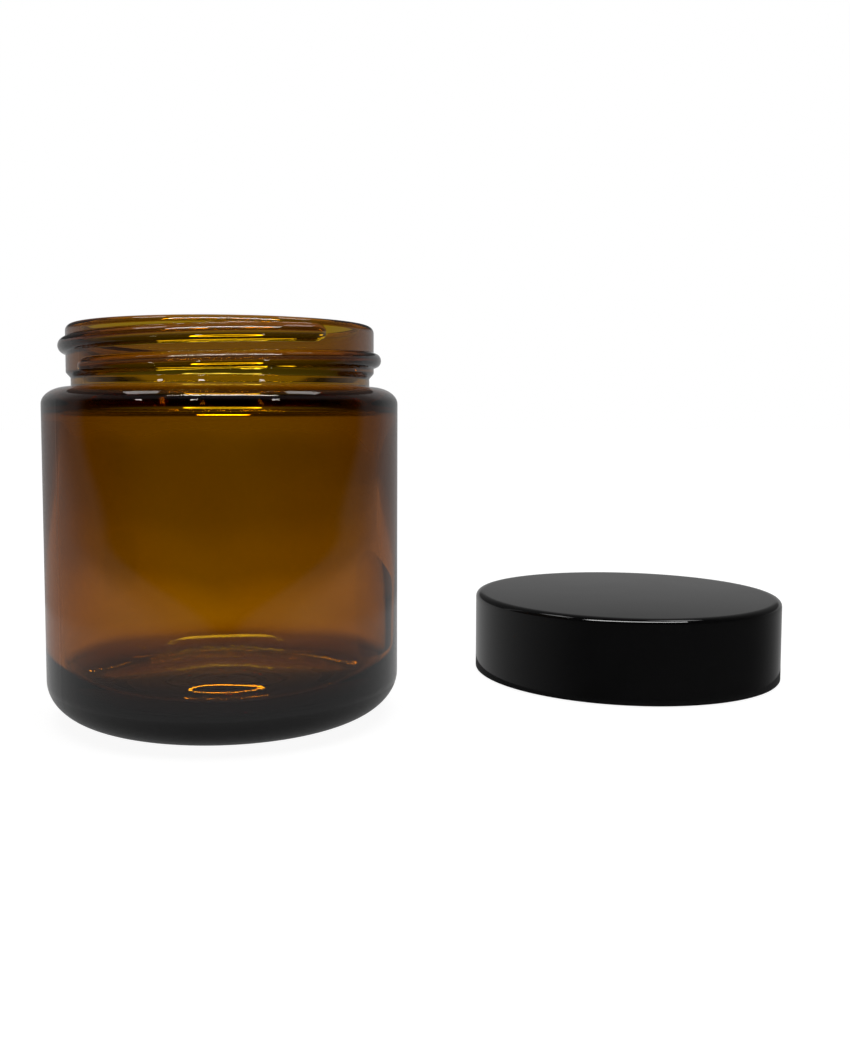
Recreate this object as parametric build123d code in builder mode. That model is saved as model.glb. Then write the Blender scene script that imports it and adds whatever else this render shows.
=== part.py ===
"""Screw-top cream jar in amber glass, standing open beside its black double-walled cap.

Millimetres. The origin is where the jar's axis meets the table, and +Z is up. The jar's front faces -Y.
The cap stands on its skirt edge to the right of the jar. It is turned the way it points when it is closed,
so that a straight move to the jar's axis and up by closed_cap_height screws it home.
"""

import os

from build123d import *

os.makedirs("parts", exist_ok=True)

# Jar, outside
body_radius = 31.25
jar_height = 68.8
shoulder_height = 58.1
shoulder_width = 4.7
shoulder_drop = 3.0
groove_radius = 26.2
groove_height = 1.5
neck_radius = 27.0
neck_step = 0.9
rim_outer_rounding = 1.2
rim_inner_rounding = 0.7
heel_width = 9.5
heel_height = 7.2
bearing_width = 1.6
push_up_height = 1.6
push_up_width = 2.2

# Jar, inside
mouth_radius = 24.5
wall = 2.85
mouth_depth = 11.5
flare_height = 3.0
flare_rounding = 1.6
floor_height = 5.2
floor_crown = 0.8
inner_heel_radius = 6.5

# Thread: a right-hand ridge round the jar's neck, and one inside the cap, half a pitch lower when closed
pitch = 4.233
jar_ridge_radius = 1.35
jar_ridge_path_radius = 26.95
jar_ridge_top = 66.5
jar_ridge_top_angle = -52.5
jar_ridge_turn = 456.0
cap_ridge_radius = 0.8
cap_ridge_path_radius = 28.6
cap_ridge_lead = 120.0
cap_ridge_turn = 420.0
ridge_end_rounding = 0.9

# Cap, outer shell
cap_x = 83.0
cap_y = 20.0
closed_cap_height = 58.7
cap_radius = 31.0
cap_height = 16.0
cap_edge_radius = 1.1
skirt_edge_radius = 0.3
shell_wall = 1.25
shell_top = 2.0
snap_bead_depth = 0.5
snap_bead_height = 1.1

# Cap, inner sleeve
sleeve_gap = 0.1
sleeve_wall = 1.0
sleeve_bottom = 1.2
sleeve_ceiling = 11.6
sleeve_ceiling_thickness = 1.3
sleeve_lead_in = 0.5
liner_bead_height = 9.2
liner_bead_radius = 0.55

# Dogs between the sleeve and the shell, which turn the sleeve with the shell
dog_count = 6
dog_inner_radius = 9.0
dog_length = 18.0
dog_thickness = 1.2
dog_clearance = 0.05

# Liner
liner_radius = 28.4
liner_underside = 10.1
facing_thickness = 0.2
foam_thickness = 1.2

bearing_radius = body_radius - heel_width
inner_radius = body_radius - wall
shell_inner_radius = cap_radius - shell_wall
shell_ceiling = cap_height - shell_top
sleeve_radius = shell_inner_radius - sleeve_gap
sleeve_inner_radius = sleeve_radius - sleeve_wall
sleeve_top = sleeve_ceiling + sleeve_ceiling_thickness
cap_ridge_top = jar_ridge_top - closed_cap_height + pitch * (cap_ridge_lead / 360 - 0.5)
cap_ridge_top_angle = jar_ridge_top_angle + cap_ridge_lead
dog_height = shell_ceiling - sleeve_top - dog_clearance
dog_radius = dog_inner_radius + dog_length / 2
dog_spacing = dog_thickness + dog_clearance

cap_axis = Axis((cap_x, cap_y, 0), (0, 0, 1))
cap_section = Plane((cap_x, cap_y, 0), x_dir=(1, 0, 0), z_dir=(0, -1, 0))


def cap_level(height):
    """The horizontal plane at this height of the cap, centred on its axis."""
    return Plane((cap_x, cap_y, height))


def thread_ridge(path_radius, radius, top_height, top_angle, turn):
    """A right-hand ridge with rounded ends, which runs clockwise down round the Z axis from its top end."""
    drop = pitch * turn / 360
    path = Helix(pitch, drop, path_radius)
    with BuildPart() as ridge:
        with BuildSketch(Plane(path @ 0, z_dir=path % 0)):
            Circle(radius)
        sweep(path=path, is_frenet=True)
        fillet(ridge.faces().filter_by(GeomType.PLANE).edges(), ridge_end_rounding * radius)
    return Pos(0, 0, top_height - drop) * Rot(0, 0, top_angle - turn) * ridge.part


def round_corners(profile, roundings):
    """Rounds the corners of the profile that is being drawn: each corner with its own radius."""
    for corner, radius in roundings.items():
        fillet(profile.vertices().sort_by_distance(corner)[0], radius)


jar_ridge = thread_ridge(
    jar_ridge_path_radius, jar_ridge_radius, jar_ridge_top, jar_ridge_top_angle, jar_ridge_turn
)
cap_ridge = Pos(cap_x, cap_y, 0) * thread_ridge(
    cap_ridge_path_radius, cap_ridge_radius, cap_ridge_top, cap_ridge_top_angle, cap_ridge_turn
)

# Amber glass jar: one moulding, thick at the heel and shoulder, with a groove under its threaded neck
with BuildPart() as glass_jar:
    with BuildSketch(Plane.XZ) as jar_profile:
        with BuildLine():
            Polyline(
                (0, push_up_height),
                (bearing_radius - bearing_width - push_up_width, push_up_height),
                (bearing_radius - bearing_width, 0),
                (bearing_radius, 0),
            )
            EllipticalCenterArc(
                (bearing_radius, heel_height), heel_width, heel_height, start_angle=-90, arc_size=90
            )
            Line((body_radius, heel_height), (body_radius, shoulder_height - shoulder_drop))
            EllipticalCenterArc(
                (body_radius - shoulder_width, shoulder_height - shoulder_drop),
                shoulder_width,
                shoulder_drop,
                arc_size=90,
            )
            Polyline(
                (body_radius - shoulder_width, shoulder_height),
                (groove_radius, shoulder_height),
                (groove_radius, shoulder_height + groove_height),
                (neck_radius, shoulder_height + groove_height + neck_step),
                (neck_radius, jar_height),
                (mouth_radius, jar_height),
                (mouth_radius, jar_height - mouth_depth),
                (inner_radius, jar_height - mouth_depth - flare_height),
                (inner_radius, floor_height),
                (0, floor_height + floor_crown),
                (0, push_up_height),
            )
        make_face()
        round_corners(
            jar_profile,
            {
                (neck_radius, jar_height): rim_outer_rounding,
                (mouth_radius, jar_height): rim_inner_rounding,
                (mouth_radius, jar_height - mouth_depth): flare_rounding,
                (inner_radius, jar_height - mouth_depth - flare_height): flare_rounding,
                (inner_radius, floor_height): inner_heel_radius,
            },
        )
    revolve(axis=Axis.Z)
    add(jar_ridge)

# Glossy outer shell of the cap, with a bead inside its skirt that snaps under the sleeve
with BuildPart() as cap_outer_shell:
    with BuildSketch(cap_section) as shell_profile:
        with BuildLine():
            Polyline(
                (0, cap_height),
                (cap_radius, cap_height),
                (cap_radius, 0),
                (shell_inner_radius - snap_bead_depth / 2, 0),
                (shell_inner_radius - snap_bead_depth, snap_bead_height / 2),
                (shell_inner_radius, snap_bead_height),
                (shell_inner_radius, shell_ceiling),
                (0, shell_ceiling),
                close=True,
            )
        make_face()
        round_corners(
            shell_profile,
            {(cap_radius, cap_height): cap_edge_radius, (cap_radius, 0): skirt_edge_radius},
        )
    revolve(axis=cap_axis)
    with BuildSketch(cap_level(shell_ceiling)):
        with PolarLocations(dog_radius, dog_count):
            Rectangle(dog_length, dog_thickness)
    extrude(amount=-dog_height)

# Threaded inner sleeve, with a bead that keeps the liner in and two dogs astride each dog of the shell
with BuildPart() as cap_inner_sleeve:
    with BuildSketch(cap_section) as sleeve_profile:
        with BuildLine():
            Polyline(
                (0, sleeve_top),
                (sleeve_radius, sleeve_top),
                (sleeve_radius, sleeve_bottom),
                (sleeve_inner_radius, sleeve_bottom),
                (sleeve_inner_radius, sleeve_ceiling),
                (0, sleeve_ceiling),
                close=True,
            )
        make_face()
        round_corners(sleeve_profile, {(sleeve_inner_radius, sleeve_bottom): sleeve_lead_in})
        with Locations((sleeve_inner_radius, liner_bead_height)):
            Circle(liner_bead_radius)
    revolve(axis=cap_axis)
    with BuildSketch(cap_level(sleeve_top)):
        with PolarLocations(dog_radius, dog_count):
            with Locations((0, dog_spacing), (0, -dog_spacing)):
                Rectangle(dog_length, dog_thickness)
    extrude(amount=dog_height)
    add(cap_ridge)

# Liner: a foam disc faced with film, loose between the sleeve's ceiling and its bead
with BuildPart() as liner_facing:
    with BuildSketch(cap_level(liner_underside)):
        Circle(liner_radius)
    extrude(amount=facing_thickness)

with BuildPart() as liner_foam:
    with BuildSketch(cap_level(liner_underside + facing_thickness)):
        Circle(liner_radius)
    extrude(amount=foam_thickness)

for name, piece in {
    "glass_jar": glass_jar,
    "cap_outer_shell": cap_outer_shell,
    "cap_inner_sleeve": cap_inner_sleeve,
    "liner_facing": liner_facing,
    "liner_foam": liner_foam,
}.items():
    piece.part.label = name
    export_step(piece.part, f"parts/{name}.step")
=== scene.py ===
import math

import bpy
import numpy as np
from mathutils import Matrix, Vector


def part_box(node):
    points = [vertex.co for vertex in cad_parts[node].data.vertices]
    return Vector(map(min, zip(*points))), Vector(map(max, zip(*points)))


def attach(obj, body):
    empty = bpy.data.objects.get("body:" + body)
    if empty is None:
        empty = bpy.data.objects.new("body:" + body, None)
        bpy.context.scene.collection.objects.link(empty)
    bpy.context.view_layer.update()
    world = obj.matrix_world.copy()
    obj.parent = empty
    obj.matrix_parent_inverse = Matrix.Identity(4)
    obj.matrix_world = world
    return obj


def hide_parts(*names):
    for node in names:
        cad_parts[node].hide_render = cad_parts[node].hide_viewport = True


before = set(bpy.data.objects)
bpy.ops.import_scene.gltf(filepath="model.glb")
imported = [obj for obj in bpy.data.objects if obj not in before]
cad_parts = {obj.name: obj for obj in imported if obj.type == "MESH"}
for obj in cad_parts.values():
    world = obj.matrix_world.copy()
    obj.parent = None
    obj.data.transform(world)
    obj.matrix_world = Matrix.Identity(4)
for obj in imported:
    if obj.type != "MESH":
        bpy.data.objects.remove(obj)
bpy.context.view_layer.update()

MM = 0.001
SEGMENTS = 240

jar_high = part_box("glass_jar")[1]
shell_low, shell_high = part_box("cap_outer_shell")

# Where the cap's axis is, in metres
CAP_AXIS = ((shell_low.x + shell_high.x) / 2, (shell_low.y + shell_high.y) / 2)

# Radii and heights that the frame gives, in millimetres
BODY = jar_high.x / MM
HEIGHT = jar_high.z / MM
CAP = (shell_high.x - shell_low.x) / 2 / MM
CAP_HEIGHT = shell_high.z / MM

# The jar's other sizes, in millimetres, as in the CAD model
SHOULDER = 58.1
SHOULDER_WIDTH = 4.7
SHOULDER_DROP = 3.0
GROOVE = 26.2
GROOVE_HEIGHT = 1.5
NECK = 27.0
NECK_STEP = 0.9
MOUTH = 24.5
MOUTH_DEPTH = 11.5
FLARE = 3.0
FLARE_ROUNDING = 1.6
INNER = BODY - 2.85
FLOOR = 5.2
FLOOR_CROWN = 0.8
INNER_HEEL = 6.5
HEEL_WIDTH = 9.5
HEEL_HEIGHT = 7.2
BEARING = BODY - HEEL_WIDTH
BEARING_WIDTH = 1.6
PUSH_UP = 1.6
PUSH_UP_WIDTH = 2.2
RIM_OUTER = 1.2
RIM_INNER = 0.7

# The thread's ridge on the jar, in millimetres and degrees. It runs clockwise down from its top end
PITCH = 4.233
JAR_RIDGE = dict(radius=1.35, path_radius=26.95, top=66.5, top_angle=-52.5, turn=456.0)
RIDGE_NOSE = 2.8
RIDGE_ROOT = 0.3

# Marks that only the visible jar has. Mould seams: degrees round the axis, width in degrees, height.
# Rings under the base: radius and height, and the width of both.
SEAMS = (-149.0, 31.0)
SEAM_WIDTH = 0.45
SEAM_HEIGHT = 0.012
RING, RING_HEIGHT = 6.5, 0.6
OUTER_RING, OUTER_RING_HEIGHT = 10.6, 0.25
RING_WIDTH = 0.45

# The cap's shell, in millimetres
SHELL_WALL = 1.25
SHELL_TOP = 2.0
SHELL_EDGE = 1.1
SKIRT_EDGE = 0.3
SNAP_BEAD = 0.5
SNAP_BEAD_HEIGHT = 1.1
TOP_DISH = 0.03

# The dogs under the shell's top, in millimetres
DOG_COUNT = 6
DOG_INNER = 9.0
DOG_OUTER = 27.0
DOG_THICKNESS = 1.2
DOG_FOOT_THICKNESS = 1.04
DOG_FOOT_INSET = 0.08
DOG_FOOT = 12.95
DOG_ROOT = 14.1


# ---------------------------------------------------------------- mesh tools


def straight(start, end, step):
    """Points from start to end, evenly spaced, without the end."""
    start, end = np.array(start, float), np.array(end, float)
    count = max(1, round(np.linalg.norm(end - start) / step))
    return [tuple(start + (end - start) * i / count) for i in range(count)]


def elliptical(centre, width, height, first, last, count):
    """Points on an elliptical arc between two angles in degrees, without the last."""
    angles = np.radians(np.linspace(first, last, count, endpoint=False))
    return [(centre[0] + width * math.cos(a), centre[1] + height * math.sin(a)) for a in angles]


def rounded(corners, step):
    """Points on straight runs joined by arcs, through corners (r, z, rounding), without the last corner."""
    points = []
    for i in range(1, len(corners) - 1):
        before, here, after = (np.array(c[:2], float) for c in corners[i - 1 : i + 2])
        rounding = corners[i][2]
        to_before = (before - here) / np.linalg.norm(before - here)
        to_after = (after - here) / np.linalg.norm(after - here)
        half = math.acos(np.clip(to_before @ to_after, -1, 1)) / 2
        cut = rounding / math.tan(half)
        first, last = here + to_before * cut, here + to_after * cut
        start = points.pop() if points else tuple(np.array(corners[0][:2], float))
        points += straight(start, first, step)
        if rounding:
            bisector = to_before + to_after
            middle = here + bisector / np.linalg.norm(bisector) * rounding / math.sin(half)
            a = math.atan2(*(first - middle)[::-1])
            b = math.atan2(*(last - middle)[::-1])
            b += -2 * math.pi if b - a > math.pi else 2 * math.pi if a - b > math.pi else 0
            count = max(4, round(abs(b - a) * rounding / min(step, rounding / 3)))
            for t in (a + (b - a) * k / count for k in range(count)):
                points.append((middle[0] + rounding * math.cos(t), middle[1] + rounding * math.sin(t)))
        points.append(tuple(last))
    last = points.pop()
    return points + straight(last, corners[-1][:2], step)


def ring_angles(seams=(), ends=()):
    """Angles round the axis in degrees, closer together at mould seams and the ends of thread ridges."""
    angles = set(np.round(np.linspace(-180, 180, SEGMENTS, endpoint=False), 4))
    for end in ends:
        angles |= {round(end + d, 4) for d in np.arange(-6, 6, 0.5)}
    for seam in seams:
        angles = {a for a in angles if abs(turn_between(a, seam)) > 1.3}
        angles |= {round(seam + d, 4) for d in (-1.2, -0.8, -0.5, -0.25, 0, 0.25, 0.5, 0.8, 1.2)}
    return np.array(sorted((a + 180) % 360 - 180 for a in angles))


def turn_between(a, b):
    """The turn from b to a in degrees, from -180 to 180."""
    return (a - b + 180) % 360 - 180


def lathe(name, profile, angles, shape=None, axis=(0, 0)):
    """A smooth closed solid of revolution in millimetres. shape(r, z, angle) may move its points."""
    profile = np.array(profile)
    poles = [profile[0][0] < 1e-6, profile[-1][0] < 1e-6]
    r, a = np.meshgrid(profile[:, 0], angles, indexing="ij")
    z, _ = np.meshgrid(profile[:, 1], angles, indexing="ij")
    if shape is not None:
        r, z = shape(r, z, a)
    t = np.radians(a)
    grid = np.stack([r * np.cos(t), r * np.sin(t), z], -1)
    rings = grid[1 if poles[0] else 0 : -1 if poles[1] else None]
    points = rings.reshape(-1, 3)
    rows, n = rings.shape[:2]
    step = np.arange(n)
    after = (step + 1) % n
    faces = []
    for low in range(rows if not any(poles) else rows - 1):
        high = (low + 1) % rows
        quads = [low * n + step, low * n + after, high * n + after, high * n + step]
        faces += np.stack(quads, 1).tolist()
    if poles[0]:
        faces += np.stack([np.full(n, len(points)), after, step], 1).tolist()
        points = np.vstack([points, [[0, 0, grid[0, 0, 2]]]])
    if poles[1]:
        top = (rows - 1) * n
        faces += np.stack([np.full(n, len(points)), top + step, top + after], 1).tolist()
        points = np.vstack([points, [[0, 0, grid[-1, 0, 2]]]])
    mesh = bpy.data.meshes.new(name)
    mesh.from_pydata((points * MM + [axis[0], axis[1], 0]).tolist(), [], faces)
    mesh.polygons.foreach_set("use_smooth", [True] * len(faces))
    mesh.update()
    piece = bpy.data.objects.new(name, mesh)
    bpy.context.scene.collection.objects.link(piece)
    return piece


def smooth_max(a, b, softness):
    """The larger of a and b, with a soft change from one to the other."""
    return np.maximum(a, b) + np.maximum(softness - np.abs(a - b), 0) ** 2 / (4 * softness)


def ridge_height(z, angle, ridge, wall):
    """How far a thread's round ridge stands out of a wall of this radius.

    It has a soft root and bullet-shaped ends.
    """
    radius, around = ridge["radius"], ridge["path_radius"]
    best = np.full(z.shape, -9.0)
    for winding in range(-1, 3):
        turned = (ridge["top_angle"] - angle) % 360 + 360 * winding
        inside = np.clip(turned, 0, ridge["turn"])
        up = z - (ridge["top"] - PITCH * inside / 360)
        to_end = np.radians(np.minimum(turned, ridge["turn"] - turned)) * around
        into_nose = np.clip(1 - to_end / RIDGE_NOSE, 0, None) * radius
        off = np.sqrt(up**2 + into_nose**2)
        height = np.where(off < radius, np.sqrt(np.maximum(radius**2 - off**2, 0)), (radius - off) * 2.5)
        best = np.maximum(best, height)
    return smooth_max(best + around - wall, 0.0, RIDGE_ROOT)


def seam_height(angle):
    """How far the mould seams, which are fine lines, stand out of the glass."""
    total = 0
    for seam in SEAMS:
        total = total + SEAM_HEIGHT * np.exp(-((turn_between(angle, seam) / SEAM_WIDTH) ** 2))
    return total


def base_ring(r, radius, height):
    """How far a round ridge stands down out of the base."""
    return height * np.exp(-(((r - radius) / RING_WIDTH) ** 2))


# ---------------------------------------------------------------- materials


class Nodes:
    """A material being built: adds nodes and links them by socket name."""

    def __init__(self, name):
        self.material = bpy.data.materials.new(name)
        self.material.use_nodes = True
        self.tree = self.material.node_tree
        self.tree.nodes.clear()
        self.output = self.add("ShaderNodeOutputMaterial")
        self.surface = self.add("ShaderNodeBsdfPrincipled")
        self.link(self.surface, "BSDF", self.output, "Surface")
        self.place = self.add("ShaderNodeTexCoord")

    def add(self, kind):
        return self.tree.nodes.new(kind)

    def link(self, source, output, target, socket):
        self.tree.links.new(source.outputs[output], target.inputs[socket])

    def set(self, **values):
        """Sets sockets of the shader, named in lower case with underscores."""
        for key, value in values.items():
            socket = key.replace("_", " ").title().replace("Ior", "IOR")
            self.surface.inputs[socket].default_value = value

    def noise(self, scale, detail, roughness, stretch=(1, 1, 1)):
        """Noise fixed to the piece. A stretch below 1 draws it out along that axis."""
        mapping = self.add("ShaderNodeMapping")
        mapping.inputs["Scale"].default_value = stretch
        self.link(self.place, "Object", mapping, "Vector")
        texture = self.add("ShaderNodeTexNoise")
        texture.inputs["Scale"].default_value = scale
        texture.inputs["Detail"].default_value = detail
        texture.inputs["Roughness"].default_value = roughness
        self.link(mapping, "Vector", texture, "Vector")
        return texture

    def ramp(self, source, output, low, high, start=0.35, end=0.65):
        """A number that goes from low to high as the source goes from start to end."""
        change = self.add("ShaderNodeMapRange")
        for socket, value in zip(("From Min", "From Max", "To Min", "To Max"), (start, end, low, high)):
            change.inputs[socket].default_value = value
        self.link(source, output, change, "Value")
        return change

    def colours(self, source, output, low, high, start=0.35, end=0.65):
        """A colour that goes from low to high as the source goes from start to end."""
        ramp = self.add("ShaderNodeValToRGB")
        ramp.color_ramp.elements[0].position = start
        ramp.color_ramp.elements[1].position = end
        ramp.color_ramp.elements[0].color = (*low, 1)
        ramp.color_ramp.elements[1].color = (*high, 1)
        self.link(source, output, ramp, "Fac")
        return ramp

    def bump(self, source, output, distance, strength=1.0, under=None):
        """Bump of this height in metres, on top of another bump if there is one."""
        bump = self.add("ShaderNodeBump")
        bump.inputs["Distance"].default_value = distance
        bump.inputs["Strength"].default_value = strength
        self.link(source, output, bump, "Height")
        if under is not None:
            self.link(under, "Normal", bump, "Normal")
        self.link(bump, "Normal", self.surface, "Normal")
        return bump


def amber_glass():
    """Clear amber container glass, fire-polished, with faint ripples and smears."""
    n = Nodes("amber_glass")
    n.set(base_color=(1, 1, 1, 1), ior=1.52, transmission_weight=1.0)
    smears = n.noise(55, 4, 0.6, (1, 1, 0.4))
    rough = n.ramp(smears, "Fac", 0.0, 0.035, 0.55, 0.8)
    n.link(rough, "Result", n.surface, "Roughness")
    ripples = n.noise(90, 2, 0.4, (1, 1, 0.35))
    n.bump(ripples, "Fac", 0.00003, 0.6)
    volume = n.add("ShaderNodeVolumeAbsorption")
    volume.inputs["Color"].default_value = (0.865, 0.765, 0.0, 1)
    volume.inputs["Density"].default_value = 1800.0
    n.link(volume, "Volume", n.output, "Volume")
    return n.material


def black_gloss():
    """Black polypropylene from a polished mould, with a soft orange peel and faint smudges."""
    n = Nodes("black_gloss")
    n.set(ior=1.5, specular_ior_level=0.5)
    tone = n.noise(35, 4, 0.6)
    colour = n.colours(tone, "Fac", (0.0022, 0.0022, 0.0024), (0.0042, 0.0042, 0.0044))
    n.link(colour, "Color", n.surface, "Base Color")
    smudges = n.noise(70, 5, 0.62)
    rough = n.ramp(smudges, "Fac", 0.055, 0.12, 0.42, 0.72)
    n.link(rough, "Result", n.surface, "Roughness")
    peel = n.noise(900, 2, 0.5)
    fine = n.bump(peel, "Fac", 0.000002, 0.5)
    swell = n.noise(60, 1, 0.4)
    n.bump(swell, "Fac", 0.00002, 0.4, under=fine)
    return n.material


def black_satin():
    """Black polypropylene from a spark-eroded mould, which leaves a fine even grain."""
    n = Nodes("black_satin")
    n.set(ior=1.49)
    tone = n.noise(120, 3, 0.5)
    colour = n.colours(tone, "Fac", (0.011, 0.011, 0.012), (0.018, 0.018, 0.019))
    n.link(colour, "Color", n.surface, "Base Color")
    grain = n.noise(2600, 3, 0.55)
    rough = n.ramp(grain, "Fac", 0.34, 0.5)
    n.link(rough, "Result", n.surface, "Roughness")
    n.bump(grain, "Fac", 0.00001, 0.5)
    return n.material


def white_foam():
    """Closed-cell polyethylene foam: fine cells, a little uneven in tone."""
    n = Nodes("white_foam")
    n.set(roughness=0.85, ior=1.45)
    cells = n.add("ShaderNodeTexVoronoi")
    cells.inputs["Scale"].default_value = 2600.0
    n.link(n.place, "Object", cells, "Vector")
    tone = n.noise(400, 4, 0.6)
    colour = n.colours(tone, "Fac", (0.76, 0.76, 0.74), (0.85, 0.85, 0.83))
    n.link(colour, "Color", n.surface, "Base Color")
    n.bump(cells, "Distance", 0.00008, 0.7)
    return n.material


def white_film():
    """Smooth white facing film, with a faint print of the foam's cells."""
    n = Nodes("white_film")
    n.set(ior=1.5)
    tone = n.noise(150, 3, 0.5)
    colour = n.colours(tone, "Fac", (0.83, 0.83, 0.82), (0.88, 0.88, 0.87))
    n.link(colour, "Color", n.surface, "Base Color")
    print_through = n.noise(1500, 3, 0.6)
    rough = n.ramp(print_through, "Fac", 0.22, 0.38)
    n.link(rough, "Result", n.surface, "Roughness")
    n.bump(print_through, "Fac", 0.00001, 0.5)
    return n.material


def finish_piece(piece, material, slot, body, *nodes):
    """Gives a piece its material and tells the frame what it is."""
    piece.data.materials.clear()
    piece.data.materials.append(material)
    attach(piece, body)
    if nodes:
        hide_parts(*nodes)
    return piece


# ---------------------------------------------------------------- the jar


def jar_profile():
    """The jar's section, from under its middle, out and up over the rim, and down to its floor."""
    inside_heel = BEARING - BEARING_WIDTH
    past_rings = OUTER_RING + 0.9
    spans = [
        (0, 1.1),
        (RING - 1.1, 0.16),
        (RING + 1.1, 0.6),
        (OUTER_RING - 0.9, 0.2),
        (past_rings, None),
    ]
    under = []
    for (start, step), (end, _) in zip(spans, spans[1:]):
        under += straight((start, PUSH_UP), (end, PUSH_UP), step)
    base = under + rounded(
        [
            (past_rings, PUSH_UP, 0),
            (inside_heel - PUSH_UP_WIDTH, PUSH_UP, 0.9),
            (inside_heel, 0.0, 0.5),
            (BEARING, 0.0, 0),
        ],
        step=0.5,
    )
    heel = elliptical((BEARING, HEEL_HEIGHT), HEEL_WIDTH, HEEL_HEIGHT, -90, 0, count=26)
    body = straight((BODY, HEEL_HEIGHT), (BODY, SHOULDER - SHOULDER_DROP), step=1.6)
    corner = (BODY - SHOULDER_WIDTH, SHOULDER - SHOULDER_DROP)
    shoulder = elliptical(corner, SHOULDER_WIDTH, SHOULDER_DROP, 0, 90, count=18)
    neck_foot = SHOULDER + GROOVE_HEIGHT + NECK_STEP
    rim_foot = HEIGHT - RIM_OUTER - 0.2
    groove = rounded(
        [
            (corner[0], SHOULDER, 0),
            (GROOVE, SHOULDER, 0.25),
            (GROOVE, SHOULDER + GROOVE_HEIGHT, 0.3),
            (NECK, neck_foot, 0.4),
            (NECK, neck_foot + 0.6, 0),
        ],
        step=0.25,
    )
    neck = straight((NECK, neck_foot + 0.6), (NECK, rim_foot), step=0.105)
    rim = rounded(
        [
            (NECK, rim_foot, 0),
            (NECK, HEIGHT, RIM_OUTER),
            (MOUTH, HEIGHT, RIM_INNER),
            (MOUTH, HEIGHT - 2, 0),
        ],
        step=0.2,
    )
    flare_top = HEIGHT - MOUTH_DEPTH
    floor_middle = (0, FLOOR + FLOOR_CROWN)
    inside = rounded(
        [
            (MOUTH, HEIGHT - 2, 0),
            (MOUTH, flare_top, FLARE_ROUNDING),
            (INNER, flare_top - FLARE, FLARE_ROUNDING),
            (INNER, FLOOR, INNER_HEEL),
            (*floor_middle, 0),
        ],
        step=1.3,
    )
    return base + heel + body + shoulder + groove + neck + rim + inside + [floor_middle]


def jar_shape(r, z, angle):
    """The thread and the mould's marks outside, and the glass's own unevenness inside."""
    t = np.radians(angle)
    rows = np.arange(r.shape[0])[:, None] * np.ones_like(r)
    rim_row = int(np.argmax(z[:, 0]))
    outside = rows < rim_row
    inside = ~outside
    neck = outside & (z > SHOULDER + GROOVE_HEIGHT + NECK_STEP - 0.4) & (r > NECK - 0.7)
    r = np.where(neck, r + ridge_height(z, angle, JAR_RIDGE, NECK), r)
    wall = outside & (z > 1.0) & (z < HEIGHT - 1.2)
    r = r + np.where(wall, seam_height(angle), 0)
    # Long waves of about 0.2 mm at most, which fade out towards the shoulder and the floor
    uneven = 0.10 * np.sin(2 * t + 0.7 + z * 0.05) + 0.06 * np.sin(5 * t + z * 0.09 + 2.0)
    uneven = uneven + 0.05 * np.sin(9 * t - z * 0.13 + 0.4)
    fade = np.clip((SHOULDER - 6 - z) / 10, 0, 1) * np.clip((z - FLOOR - 1) / 6, 0, 1)
    r = r + np.where(inside, uneven * fade, 0)
    under = outside & (r < BEARING - BEARING_WIDTH - PUSH_UP_WIDTH)
    rings = base_ring(r, RING, RING_HEIGHT) + base_ring(r, OUTER_RING, OUTER_RING_HEIGHT)
    z = z - np.where(under, rings, 0)
    return r, z


def make_jar():
    """The glass jar, which stands for its CAD node."""
    ends = (JAR_RIDGE["top_angle"], turn_between(JAR_RIDGE["top_angle"], JAR_RIDGE["turn"]))
    piece = lathe("jar_glass", jar_profile(), ring_angles(SEAMS, ends), jar_shape)
    return finish_piece(piece, amber_glass(), "amber_glass", "jar", "glass_jar")


# ---------------------------------------------------------------- the cap


def make_shell(material):
    """The cap's outer shell: a snap bead inside its skirt, and a top that sinks a little in the middle."""
    inner = CAP - SHELL_WALL
    ceiling = CAP_HEIGHT - SHELL_TOP
    profile = rounded(
        [
            (0, ceiling, 0),
            (inner, ceiling, 0.5),
            (inner, SNAP_BEAD_HEIGHT, 0.2),
            (inner - SNAP_BEAD, SNAP_BEAD_HEIGHT / 2, 0.25),
            (inner - SNAP_BEAD / 2, 0.0, 0.1),
            (CAP, 0.0, SKIRT_EDGE),
            (CAP, CAP_HEIGHT, SHELL_EDGE),
            (0, CAP_HEIGHT, 0),
        ],
        step=0.6,
    ) + [(0, CAP_HEIGHT)]

    def shape(r, z, angle):
        dish = TOP_DISH * (1 - np.clip(r / (CAP - 2), 0, 1) ** 2)
        return r, z - np.where(z > CAP_HEIGHT - 0.5, dish, 0)

    piece = lathe("cap_shell", profile, ring_angles(), shape, CAP_AXIS)
    return finish_piece(piece, material, "black_gloss", "cap", "cap_outer_shell")


def make_dogs(material):
    """Radial bars under the shell's top, a little thinner at their foot, which drive the sleeve."""
    points, faces = [], []
    foot = (DOG_FOOT, DOG_FOOT_THICKNESS / 2, DOG_FOOT_INSET)
    root = (DOG_ROOT, DOG_THICKNESS / 2, 0.0)
    for turn in range(0, 360, 360 // DOG_COUNT):
        t = math.radians(turn)
        along = Vector((math.cos(t), math.sin(t), 0))
        across = Vector((-math.sin(t), math.cos(t), 0))
        first = len(points)
        for z, half, inset in (foot, root):
            near, far = DOG_INNER + inset, DOG_OUTER - inset
            for r, side in ((near, -half), (far, -half), (far, half), (near, half)):
                point = along * r + across * side + Vector((0, 0, z))
                points.append(point * MM + Vector((*CAP_AXIS, 0)))
        box = [(3, 2, 1, 0), (4, 5, 6, 7)]
        box += [(i, (i + 1) % 4, (i + 1) % 4 + 4, i + 4) for i in range(4)]
        faces += [tuple(first + i for i in face) for face in box]
    mesh = bpy.data.meshes.new("shell_dogs")
    mesh.from_pydata(points, [], faces)
    piece = bpy.data.objects.new("shell_dogs", mesh)
    bpy.context.scene.collection.objects.link(piece)
    return finish_piece(piece, material, "black_gloss", "cap")


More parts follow.
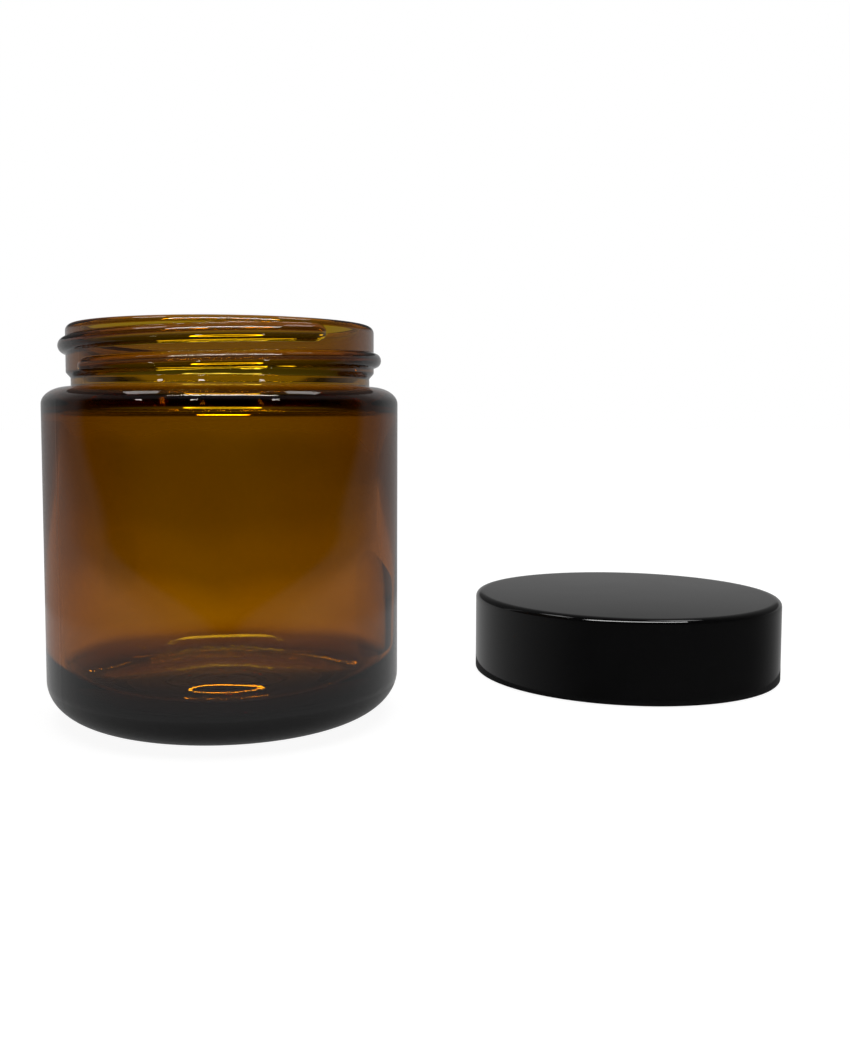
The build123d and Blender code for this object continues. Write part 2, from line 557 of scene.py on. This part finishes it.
def recolour(node, material):
    """A CAD node that keeps its shape gets its real material."""
    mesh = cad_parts[node].data
    mesh.materials.clear()
    mesh.materials.append(material)


# ---------------------------------------------------------------- the studio

# The camera: millimetres for the sensor, pixels of a picture 1062 high, metres and degrees
SENSOR = 36.0
IMAGE_HEIGHT = 1062
FOCAL_PIXELS = 1110.0
SHIFT_PIXELS = (50.0, -38.0)
EYE_DISTANCE = 0.2011
EYE_HEIGHT = 0.0537
EYE_YAW = 7.78
EYE_PITCH = 4.17


def make_camera():
    """The camera where the photo was taken from, as far as the jar's outline tells."""
    camera = bpy.data.cameras.new("camera")
    camera.sensor_width = SENSOR
    camera.lens = FOCAL_PIXELS / IMAGE_HEIGHT * SENSOR
    camera.shift_x = SHIFT_PIXELS[0] / IMAGE_HEIGHT
    camera.shift_y = SHIFT_PIXELS[1] / IMAGE_HEIGHT
    camera.clip_start = 0.01
    eye = bpy.data.objects.new("camera", camera)
    eye.location = (0, -EYE_DISTANCE, EYE_HEIGHT)
    eye.rotation_euler = (math.radians(90 - EYE_PITCH), 0, math.radians(-EYE_YAW))
    bpy.context.scene.collection.objects.link(eye)
    bpy.context.scene.camera = eye


class Glow:
    """A shining stage material, or the world, whose strength is worked out from place or direction."""

    def __init__(self, holder):
        holder.use_nodes = True
        self.tree = holder.node_tree
        self.tree.nodes.clear()

    def add(self, kind):
        return self.tree.nodes.new("ShaderNode" + kind)

    def feed(self, socket, value):
        if isinstance(value, (int, float)):
            socket.default_value = value
        else:
            self.tree.links.new(value, socket)

    def math(self, operation, first, second=0.0):
        node = self.add("Math")
        node.operation = operation
        self.feed(node.inputs[0], first)
        self.feed(node.inputs[1], second)
        return node.outputs[0]

    def change(self, value, start, end, low, high):
        """Goes smoothly from low to high as value goes from start to end."""
        node = self.add("MapRange")
        node.interpolation_type = "SMOOTHSTEP"
        sockets = ("Value", "From Min", "From Max", "To Min", "To Max")
        for socket, number in zip(sockets, (value, start, end, low, high)):
            self.feed(node.inputs[socket], number)
        return node.outputs["Result"]

    def blend(self, share, first, second):
        """Goes from first to second as share goes from 0 to 1."""
        node = self.add("Mix")
        for socket, value in zip(("Factor", "A", "B"), (share, first, second)):
            self.feed(node.inputs[socket], value)
        return node.outputs["Result"]

    def place(self):
        """The x, y and z of the point that shines."""
        split = self.add("SeparateXYZ")
        self.tree.links.new(self.add("NewGeometry").outputs["Position"], split.inputs[0])
        return split.outputs

    def distance(self, place, centre):
        """How far the point is from an upright axis."""
        across = self.math("SUBTRACT", place["X"], centre[0])
        along = self.math("SUBTRACT", place["Y"], centre[1])
        squares = self.math("ADD", self.math("POWER", across, 2.0), self.math("POWER", along, 2.0))
        return self.math("SQRT", squares)

    def from_front(self, place, centre):
        """Degrees round an upright axis from the front, 0 to 180 on either side."""
        across = self.math("SUBTRACT", place["X"], centre[0])
        front = self.math("SUBTRACT", centre[1], place["Y"])
        return self.math("DEGREES", self.math("ABSOLUTE", self.math("ARCTAN2", across, front)))


def shining(name, strength, diffuse=0.0, one_sided=False):
    """A stage material. strength is a number, or a function of a Glow that gives one.

    diffuse is the share of light that it also scatters. A one-sided material is clear from behind.
    """
    material = bpy.data.materials.new(name)
    glow = Glow(material)
    output, shine = glow.add("OutputMaterial"), glow.add("Emission")
    glow.feed(shine.inputs["Strength"], strength if isinstance(strength, float) else strength(glow))
    result = shine.outputs[0]
    if diffuse:
        matt, both = glow.add("BsdfDiffuse"), glow.add("AddShader")
        matt.inputs["Color"].default_value = (diffuse, diffuse, diffuse, 1)
        glow.feed(both.inputs[0], result)
        glow.feed(both.inputs[1], matt.outputs[0])
        result = both.outputs[0]
    if one_sided:
        either = glow.add("MixShader")
        glow.feed(either.inputs[0], glow.add("NewGeometry").outputs["Backfacing"])
        glow.feed(either.inputs[1], result)
        glow.feed(either.inputs[2], glow.add("BsdfTransparent").outputs[0])
        result = either.outputs[0]
    glow.feed(output.inputs["Surface"], result)
    return material


def stage_piece(name, points, faces, material, rays):
    """A studio piece that shows only to these kinds of rays."""
    mesh = bpy.data.meshes.new(name)
    mesh.from_pydata(points, [], faces)
    mesh.materials.append(material)
    piece = bpy.data.objects.new(name, mesh)
    piece.visible_camera = "camera" in rays
    piece.visible_glossy = "glossy" in rays
    piece.visible_diffuse = "diffuse" in rays
    piece.visible_transmission = "transmission" in rays
    piece.visible_shadow = False
    bpy.context.scene.collection.objects.link(piece)
    return piece


def turned_to(centre, facing):
    """The place of a flat stage piece at this centre that faces this way."""
    turn = Vector(facing).to_track_quat("Z", "Y").to_matrix().to_4x4()
    return Matrix.Translation(centre) @ turn


def towards(azimuth, elevation=0.0):
    """The direction at these degrees to the right of the front and up."""
    a, e = math.radians(azimuth), math.radians(elevation)
    return Vector((math.sin(a) * math.cos(e), -math.cos(a) * math.cos(e), math.sin(e)))


def circle(centre, radius, count):
    """Evenly spaced points (x, y) on a circle."""
    turn = [2 * math.pi * i / count for i in range(count)]
    return [(centre[0] + radius * math.cos(a), centre[1] + radius * math.sin(a)) for a in turn]


def card(name, centre, size, facing, material, rays):
    """A flat card, size (width, height)."""
    w, h = size[0] / 2, size[1] / 2
    corners = [(-w, -h, 0), (w, -h, 0), (w, h, 0), (-w, h, 0)]
    piece = stage_piece(name, corners, [(0, 1, 2, 3)], material, rays)
    piece.matrix_world = turned_to(centre, facing)
    return piece


def tent(name, centre, radius, height, strength):
    """A round screen close about a piece. Only reflections see it, and only its inside."""
    count = 96
    ring = circle(centre, radius, count)
    points = [(*p, 0.0) for p in ring] + [(*p, height) for p in ring]
    faces = [(i, i + count, (i + 1) % count + count, (i + 1) % count) for i in range(count)]
    material = shining(name, strength, one_sided=True)
    return stage_piece(name, points, faces, material, ("glossy",))


def table_seen(glow):
    """The table as the camera and the glass see it.

    It is white to the camera. Through the glass it has a painted shadow under the jar and a painted shadow
    of the jar behind it, and it is dimmer far away.
    """
    place = glow.place()
    off = glow.distance(place, (0, 0))
    # painted shadow: dark under the jar and round its foot, for rays through the glass
    under = glow.change(off, 0.030, 0.056, 0.03, 1.0)
    side = glow.math("MULTIPLY", glow.math("ABSOLUTE", place["X"]), 0.6)
    depth = glow.math("SUBTRACT", place["Y"], side)
    # painted shadow of the jar on the table behind it, for rays through the glass
    far = glow.change(depth, 0.09, 0.17, 0.9, 0.47)
    farther = glow.change(depth, 0.18, 0.36, 1.0, 0.68)
    farther = glow.math("MULTIPLY", farther, glow.change(depth, 0.6, 3.0, 1.0, 1.4))
    aside = glow.change(off, 0.25, 1.6, 0.9, 0.47)
    away = glow.math("MINIMUM", glow.math("MULTIPLY", far, farther), aside)
    through = glow.math("MULTIPLY", under, away)
    to_camera = glow.change(off, 0.05, 0.2, 0.93, 1.0)
    return glow.blend(glow.add("LightPath").outputs["Is Camera Ray"], through, to_camera)


def table_reflected(glow):
    """The table in reflections: bright round the jar with a painted shadow at its foot, and dark beyond it
    and round the cap.
    """
    place = glow.place()
    off = glow.distance(place, (0, 0))
    # painted shadow: dimmer close to the jar's foot, as the jar's heel reflects it
    near = glow.change(off, 0.024, 0.045, 0.15, 0.5)
    near = glow.math("MULTIPLY", near, glow.change(off, 0.09, 0.14, 1.0, 0.12))
    from_cap = glow.distance(place, CAP_AXIS)
    return glow.blend(glow.change(from_cap, 0.04, 0.055, 0.0, 1.0), 0.07, near)


def jar_surroundings(glow):
    """Dark in front, pale at the sides and behind. Low down, the pale part reaches round to the front."""
    place = glow.place()
    turn = glow.from_front(place, (0, 0))
    start = glow.change(place["Z"], 0.018, 0.034, 0.0, 40.0)
    start = glow.math("ADD", start, glow.change(place["Z"], 0.034, 0.052, 0.0, 12.0))
    front = glow.change(place["Z"], 0.058, 0.063, 0.0, 0.14)
    level = glow.change(place["Z"], 0.056, 0.062, 0.34, 0.5)
    edge = glow.math("ADD", start, 9.0)
    sides = glow.change(turn, start, edge, front, glow.math("MULTIPLY", level, 0.45))
    sides = glow.math("ADD", sides, glow.change(turn, edge, glow.math("ADD", edge, 22.0), 0.0, 0.18))
    low = glow.change(place["Z"], 0.016, 0.0195, 1.0, 0.0)
    return glow.blend(low, sides, 0.46)


def cap_surroundings(glow):
    """Dark in front, paler towards the back."""
    turn = glow.from_front(glow.place(), CAP_AXIS)
    return glow.change(turn, 30.0, 100.0, 0.04, 0.42)


def make_world():
    """White to the camera, bright round the horizon through the glass, and a dim room in reflections."""
    world = bpy.data.worlds.new("studio")
    bpy.context.scene.world = world
    glow = Glow(world)
    axes = glow.add("SeparateXYZ")
    glow.feed(axes.inputs[0], glow.add("TexCoord").outputs["Generated"])
    up, back = axes.outputs["Z"], axes.outputs["Y"]
    path = glow.add("LightPath").outputs

    near_horizon = glow.change(up, 0.04, 0.22, 0.47, 0.10)
    through = glow.math("MULTIPLY", near_horizon, glow.change(up, 0.25, 0.7, 1.0, 0.4))
    behind = glow.change(back, -0.5, 0.7, 0.05, 0.56)
    reflected = glow.math("MULTIPLY", behind, glow.change(up, 0.11, 0.21, 0.64, 0.16))
    strength = glow.blend(path["Is Reflection Ray"], through, reflected)
    strength = glow.blend(path["Is Camera Ray"], strength, 1.0)

    shine, output = glow.add("Background"), glow.add("OutputWorld")
    shine.inputs["Color"].default_value = (1, 1, 1, 1)
    glow.feed(shine.inputs["Strength"], strength)
    glow.feed(output.inputs["Surface"], shine.outputs[0])


# Softboxes 1 m away: name, degrees to the right of the front, degrees up, width and height in metres,
# strength, and the rays that see it
SOFTBOXES = [
    ("key_box", 0, 65, (1.1, 0.2), 16.0, "glossy"),
    ("left_box", -110, 62, (0.33, 0.22), 3.0, "glossy"),
    ("right_box", 110, 62, (0.33, 0.22), 3.0, "glossy"),
    ("back_box", 180, 48, (0.5, 0.05), 8.0, "transmission"),
]

# What the softboxes face, above the middle of the jar's base
AIM = Vector((0, 0, 0.05))

# Small lights close to the jar's shoulder: degrees to the right of the front, and metres
SPARKS = (-29.0, -9.5, 18.0)
SPARK_DISTANCE = 0.0365
SPARK_HEIGHT = 0.0585
SPARK_SIZE = (0.0016, 0.0012)

# The ring-shaped lamp 1 m behind the jar: degrees up, inner and outer radius in metres
RING_LAMP_ELEVATION = 24.5
RING_LAMP_RADII = (0.054, 0.064)

# The screens round the jar and the cap: radius and height in metres
JAR_TENT = (0.0375, 0.070)
CAP_TENT = (0.034, 0.016)

# The table lies this far under the jar, in metres
TABLE_GAP = 0.0002


def softbox(name, azimuth, elevation, size, strength, rays):
    """A bright card that faces the jar, for its highlights or for what the glass bends."""
    away = towards(azimuth, elevation)
    card(name, away + AIM, size, -away, shining(name, strength), (rays,))


def ring_lamp_glow(glow):
    """Dimmer to rays of low transmission depth, which keeps streaks out of the neck: found by trial."""
    depth = glow.add("LightPath").outputs["Transmission Depth"]
    return glow.change(depth, 2.2, 2.8, 12.0, 75.0)


def ring_lamp():
    """A ring-shaped lamp behind the jar, which shows as a bright ring in the jar's base."""
    count = 64
    points = [(*p, 0.0) for radius in RING_LAMP_RADII for p in circle((0, 0), radius, count)]
    faces = [(i, (i + 1) % count, (i + 1) % count + count, i + count) for i in range(count)]
    material = shining("ring_lamp", ring_lamp_glow)
    lamp = stage_piece("ring_lamp", points, faces, material, ("transmission",))
    e = math.radians(RING_LAMP_ELEVATION)
    away = Vector((0, math.cos(e), math.sin(e)))
    lamp.matrix_world = turned_to(away, -away)


def make_stage():
    """The table, the screens, the softboxes and the lamps. The table is clear from below."""
    table_centre, up = (0, 0, -TABLE_GAP), (0, 0, 1)
    seen = shining("table_seen", table_seen, diffuse=0.3, one_sided=True)
    table = card("table", table_centre, (6, 6), up, seen, ("camera", "transmission", "diffuse"))
    table.visible_shadow = True
    reflected = shining("table_reflected", table_reflected)
    card("table_in_reflections", table_centre, (3, 3), up, reflected, ("glossy",))
    tent("jar_tent", (0, 0), *JAR_TENT, jar_surroundings)
    tent("cap_tent", CAP_AXIS, *CAP_TENT, cap_surroundings)
    for box in SOFTBOXES:
        softbox(*box)
    for i, azimuth in enumerate(SPARKS):
        name, away = f"spark_{i}", towards(azimuth)
        place = away * SPARK_DISTANCE + Vector((0, 0, SPARK_HEIGHT))
        card(name, place, SPARK_SIZE, -away, shining(name, 12.0), ("glossy",))
    ring_lamp()
    light = bpy.data.lights.new("top_light", "AREA")
    light.energy = 1.6
    light.shape = "RECTANGLE"
    light.size, light.size_y = 0.6, 0.5
    lamp = bpy.data.objects.new("top_light", light)
    lamp.location = (0.03, -0.05, 0.6)
    lamp.visible_glossy = False
    lamp.visible_transmission = False
    bpy.context.scene.collection.objects.link(lamp)


def set_render():
    """Plain colours, and light paths long enough for thick glass with a thread."""
    scene = bpy.context.scene
    scene.view_settings.view_transform = "Standard"
    scene.view_settings.look = "None"
    scene.cycles.max_bounces = 24
    scene.cycles.transmission_bounces = 24
    scene.cycles.glossy_bounces = 8
    scene.cycles.transparent_max_bounces = 16
    scene.cycles.caustics_refractive = True
    scene.cycles.caustics_reflective = True


make_jar()
gloss = black_gloss()
make_shell(gloss)
make_dogs(gloss)
recolour("cap_inner_sleeve", black_satin())
recolour("liner_foam", white_foam())
recolour("liner_facing", white_film())
make_camera()
make_world()
make_stage()
set_render()
